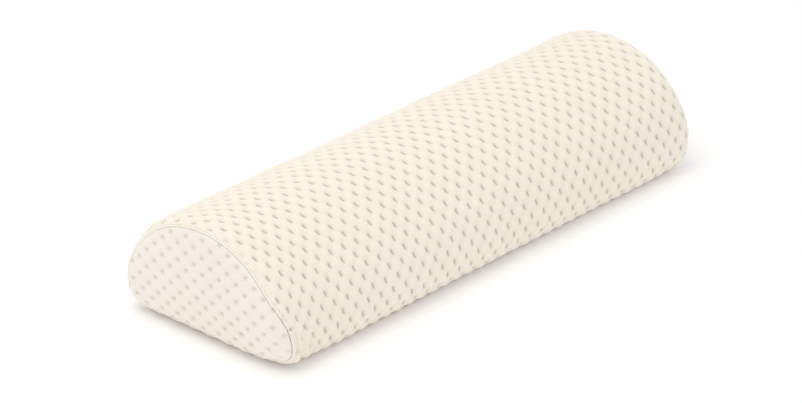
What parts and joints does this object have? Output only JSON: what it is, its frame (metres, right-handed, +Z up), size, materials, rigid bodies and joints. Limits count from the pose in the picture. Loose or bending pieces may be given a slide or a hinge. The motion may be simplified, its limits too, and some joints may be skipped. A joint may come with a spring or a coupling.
{
  "type": "bolster pillow",
  "caption": "Half-round bolster pillow with a flat base: a foam core in a thin liner inside a dimpled cream knit cover with a rear zip.",
  "frame": {"origin": "centre of the flat base, on the surface that the pillow rests on", "axes": "+X along the pillow to its far end, +Y across it to the rear side with the zip, +Z up to the crown of the arch"},
  "size_m": [0.59, 0.2049, 0.115],
  "materials": {
    "cover_knit": "padded dimple knit, matt, warm cream",
    "end_knit": "the same dimple knit turned a quarter turn",
    "foam_core": "open-cell flexible foam, pale yellow",
    "liner_jersey": "thin plain jersey, off-white",
    "seam_thread": "polyester sewing thread, cream",
    "zip_tape": "tight woven tape, cream",
    "zip_teeth": "nylon coil, cream",
    "zip_metal": "nickel-plated zinc, lightly worn",
    "label_satin": "white satin ribbon, blank"
  },
  "bodies": {
    "cover": {"foam_core": "foam_core", "liner_sleeve": "liner_jersey", "liner_near_end": "liner_jersey", "liner_far_end": "liner_jersey", "dome_panel": "cover_knit", "base_panel": "cover_knit", "near_end_panel": "end_knit", "far_end_panel": "end_knit", "near_end_seam": "seam_thread", "far_end_seam": "seam_thread", "front_base_seam": "seam_thread", "near_rear_seam": "seam_thread", "far_rear_seam": "seam_thread", "zip_tape_upper": "zip_tape", "zip_tape_lower": "zip_tape", "zip_teeth_upper": "zip_teeth", "zip_teeth_lower": "zip_teeth", "zip_top_stop_upper": "zip_metal", "zip_top_stop_lower": "zip_metal", "zip_bottom_stop": "zip_metal", "zip_stitching_upper": "seam_thread", "zip_stitching_lower": "seam_thread", "care_label": "label_satin"},
    "slider": {"zip_slider": "zip_metal"},
    "pull": {"zip_pull": "zip_metal"}
  },
  "joints": [
    {"name": "zip_slide", "type": "slide", "parent": "cover", "child": "slider", "axis": [1, 0, 0], "range_m": [0, 0.4384]},
    {"name": "pull_hinge", "type": "hinge", "parent": "slider", "child": "pull", "pos_m": [-0.2192, 0.1026, 0.026], "axis": [0, 0, 1], "range_deg": [0, 180]}
  ]
}
